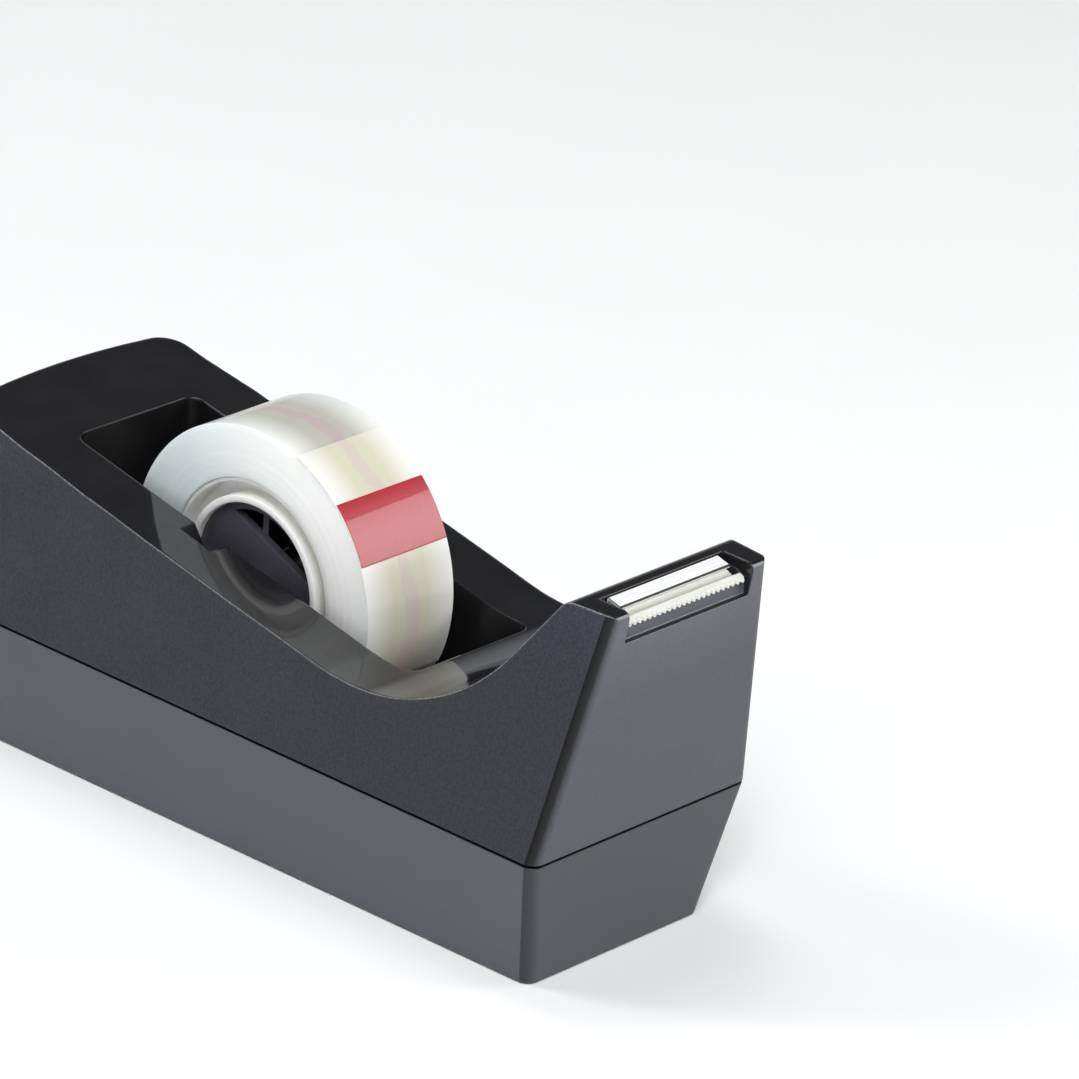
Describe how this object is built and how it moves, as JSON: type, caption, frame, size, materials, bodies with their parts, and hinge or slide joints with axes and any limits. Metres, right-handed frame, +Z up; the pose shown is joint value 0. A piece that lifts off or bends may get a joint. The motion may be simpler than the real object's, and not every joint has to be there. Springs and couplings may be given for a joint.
{
  "type": "desk tape dispenser",
  "caption": "Weighted desk tape dispenser with a serrated cutter on its nose and a tape roll on a hub that lifts out of slanted slots.",
  "frame": {"origin": "middle of the footprint box, on the surface that the dispenser stands on", "axes": "+Y from the cutter to the back, +Z up, X across the width"},
  "size_m": [0.0546, 0.1386, 0.064],
  "materials": {
    "housing_plastic": "fine spark-eroded grain on the sides, polished black on the deck",
    "base_plastic": "smooth satin blue-grey",
    "ballast_iron": "rough sand-cast",
    "screw_steel": "zinc plated",
    "pad_rubber": "fine closed-cell foam skin",
    "strip_steel": "polished",
    "blade_steel": "ground",
    "hub_plastic": "satin black",
    "core_plastic": "smooth white",
    "tape_film": "translucent glossy film",
    "tab_film": "printed film in one plain colour"
  },
  "bodies": {
    "root": {"upper_housing": "housing_plastic", "base_shell": "base_plastic", "front_weight": "ballast_iron", "rear_weight": "ballast_iron", "housing_screws": "screw_steel", "grip_pad": "pad_rubber", "landing_strip": "strip_steel", "cutter_blade": "blade_steel"},
    "axle": {"hub_axle": "hub_plastic"},
    "roll": {"hub_spool": "hub_plastic", "hub_cap": "hub_plastic", "tape_core": "core_plastic", "tape_winding": "tape_film", "tape_lead": "tape_film", "lead_tab": "tab_film"}
  },
  "joints": [
    {"name": "hub_lift", "type": "slide", "parent": "root", "child": "axle", "axis": [0, 0.585, 0.8111], "range_m": [0, 0.0125]},
    {"name": "hub_spin", "type": "hinge", "parent": "axle", "child": "roll", "pos_m": [0, 0.01202, 0.0384], "axis": [1, 0, 0], "continuous": true}
  ]
}
